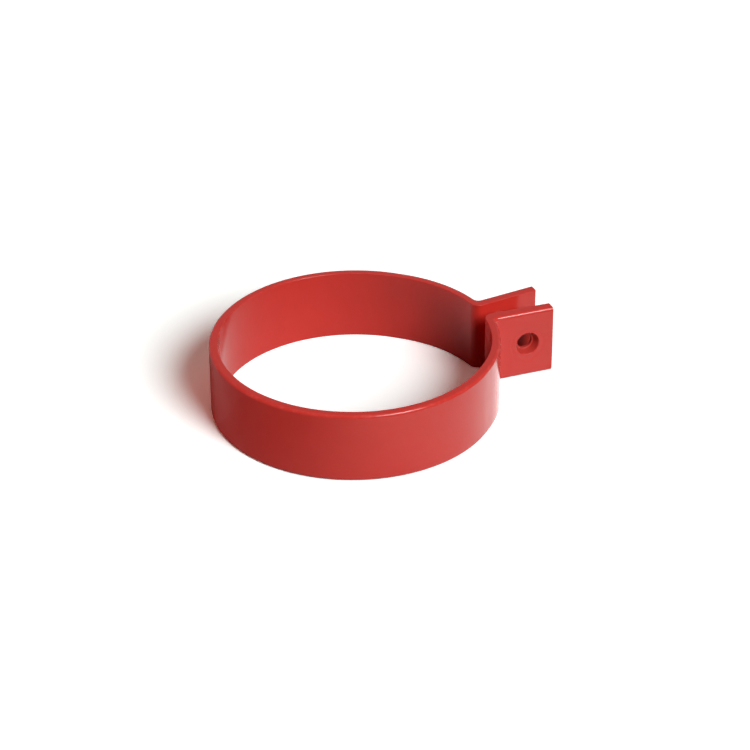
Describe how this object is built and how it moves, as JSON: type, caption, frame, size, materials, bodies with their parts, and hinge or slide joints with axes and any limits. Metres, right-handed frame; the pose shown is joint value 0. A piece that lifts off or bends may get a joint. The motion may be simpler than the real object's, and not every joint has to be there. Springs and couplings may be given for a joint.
{
  "type": "downpipe clip",
  "caption": "Split round band for a downpipe, moulded in one piece with two splayed ears and a screw hole across their gap.",
  "frame": {"origin": "on the pipe's axis, at half the band's height", "axes": "+Z along the pipe's axis, +X from the axis through the gap towards the ears' tips, -Y towards the ear with the screw's seat"},
  "size_m": [0.1441, 0.1172, 0.03],
  "materials": {
    "red_pvc": "smooth moulded PVC-U with a soft gloss"
  },
  "bodies": {
    "root": {"clip_body": "red_pvc"}
  },
  "joints": []
}
